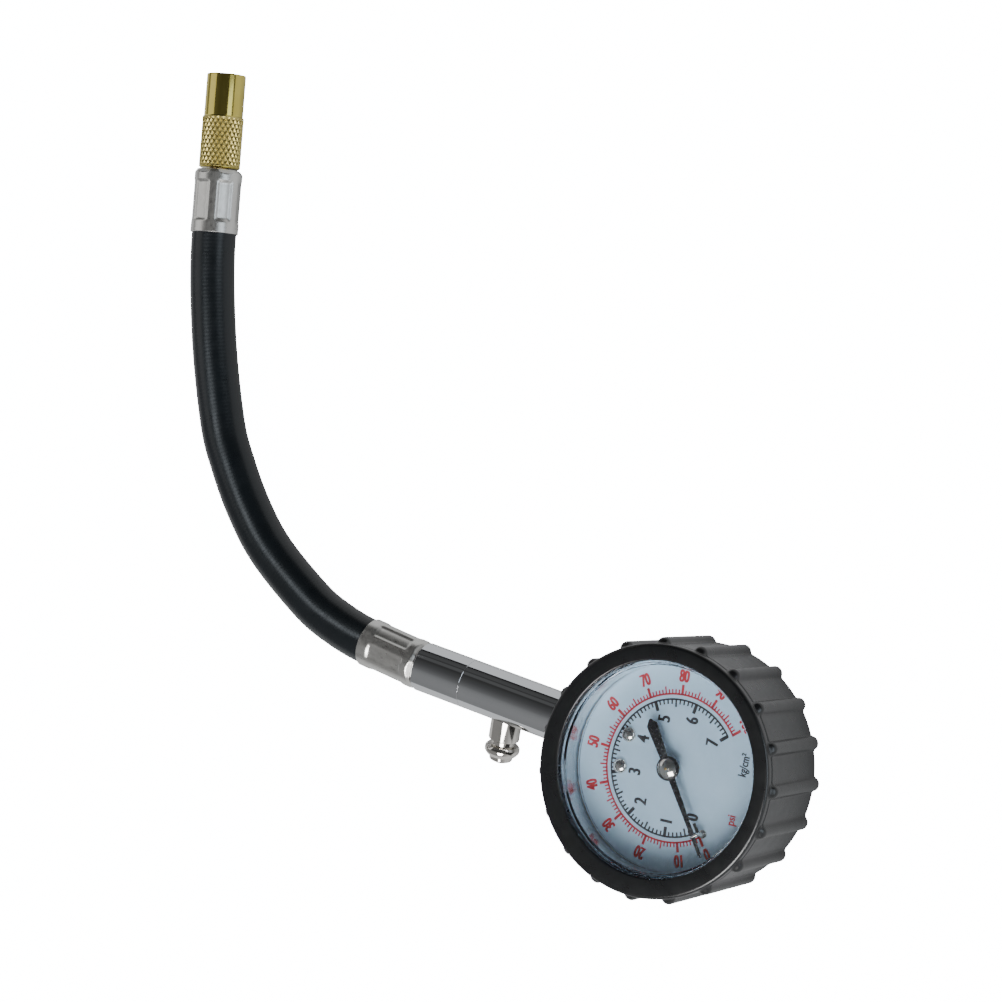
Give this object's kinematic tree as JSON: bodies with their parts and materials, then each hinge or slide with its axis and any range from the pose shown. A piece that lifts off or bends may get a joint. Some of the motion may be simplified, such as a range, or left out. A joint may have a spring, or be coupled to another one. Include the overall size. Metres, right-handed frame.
{
  "type": "dial tire pressure gauge",
  "caption": "Round dial pressure gauge in a ribbed rubber boot, with a metal stem, a bleed valve and a short hose that ends in a swivelling brass valve chuck.",
  "frame": {"origin": "centre of the boot's flat back face, on which the gauge lies", "axes": "+Z out of the dial, -X along the stem from the head to the hose, +Y to the side the hose bends to"},
  "size_m": [0.2489, 0.1837, 0.0325],
  "materials": {
    "boot_rubber": "satin moulded rubber",
    "seal_rubber": "matt seal rubber",
    "hose_rubber": "smooth satin hose cover",
    "crystal": "clear moulded window",
    "dial": "printed white aluminium",
    "pointer_paint": "black painted",
    "chrome": "polished chrome plate",
    "nickel": "polished nickel plate",
    "tin": "satin plated steel, crimped",
    "steel": "bright steel",
    "brass": "machined brass",
    "bronze": "drawn phosphor bronze",
    "chuck_brass": "polished and knurled brass"
  },
  "bodies": {
    "gauge": {"boot": "boot_rubber", "case": "steel", "crystal": "crystal", "crystal_gasket": "seal_rubber", "dial_plate": "dial", "dial_screw_1": "nickel", "dial_screw_2": "nickel", "stop_pin": "nickel", "socket_block": "brass", "bourdon_tube": "bronze", "movement_bottom_plate": "brass", "movement_top_plate": "brass", "movement_pillar_1": "brass", "movement_pillar_2": "brass", "movement_pillar_3": "brass", "movement_screw_1": "steel", "movement_screw_2": "steel", "hairspring": "bronze", "case_screw_1": "steel", "case_screw_2": "steel", "vent_plug": "seal_rubber", "stem_body": "chrome", "check_spring": "steel", "bleed_valve_body": "nickel", "bleed_spring": "steel", "hose_connector": "chrome", "lower_ferrule": "tin", "hose": "hose_rubber", "upper_ferrule": "tin", "chuck_nipple": "brass"},
    "pointer": {"pointer": "pointer_paint", "pointer_cap": "nickel", "pinion_arbor": "brass"},
    "sector": {"sector_gear": "brass"},
    "link": {"link": "steel"},
    "tube_tip": {"bourdon_tip": "brass"},
    "bleed_button": {"bleed_button": "nickel", "bleed_plunger": "brass", "bleed_o_ring": "seal_rubber"},
    "check_poppet": {"check_poppet": "brass"},
    "chuck": {"chuck_body": "chuck_brass", "chuck_seal": "seal_rubber", "depressor_pin": "brass"}
  },
  "joints": [
    {"name": "pointer_spin", "type": "hinge", "parent": "gauge", "child": "pointer", "pos_m": [0, 0, 0.0232], "axis": [0, 0, -1], "range_deg": [0, 265], "stiffness_Nm_per_rad": 0.00002, "springref_deg": -17.19, "deforming": ["hairspring"]},
    {"name": "sector_swing", "type": "hinge", "parent": "gauge", "child": "sector", "pos_m": [-0.0025, -0.01464, 0.01545], "axis": [0, 0, 1], "range_deg": [0, 26.5]},
    {"name": "link_pivot", "type": "hinge", "parent": "sector", "child": "link", "pos_m": [-0.00427, -0.02037, 0.01655], "axis": [0, 0, 1], "range_deg": [-26.5, 0]},
    {"name": "tube_tip_swing", "type": "hinge", "parent": "gauge", "child": "tube_tip", "pos_m": [0.0058, 0.0058, 0.0092], "axis": [0, 0, 1], "range_deg": [0, 5.95], "deforming": ["bourdon_tube"]},
    {"name": "bleed_press", "type": "slide", "parent": "gauge", "child": "bleed_button", "axis": [0, 0.9744, 0.225], "range_m": [0, 0.0012], "stiffness_N_per_m": 600, "springref_m": -0.002, "deforming": ["bleed_spring"]},
    {"name": "check_valve_lift", "type": "slide", "parent": "gauge", "child": "check_poppet", "axis": [1, 0, 0], "range_m": [0, 0.001], "stiffness_N_per_m": 150, "springref_m": -0.001, "deforming": ["check_spring"]},
    {"name": "chuck_swivel", "type": "hinge", "parent": "gauge", "child": "chuck", "pos_m": [-0.20223, 0.11838, 0.0072], "axis": [-0.2147, 0.9767, 0], "continuous": true}
  ],
  "couplings": [
    {"joint": "sector_swing", "follows": "pointer_spin", "ratio": 0.1},
    {"joint": "link_pivot", "follows": "pointer_spin", "ratio": -0.1},
    {"joint": "tube_tip_swing", "follows": "pointer_spin", "ratio": 0.022361}
  ]
}
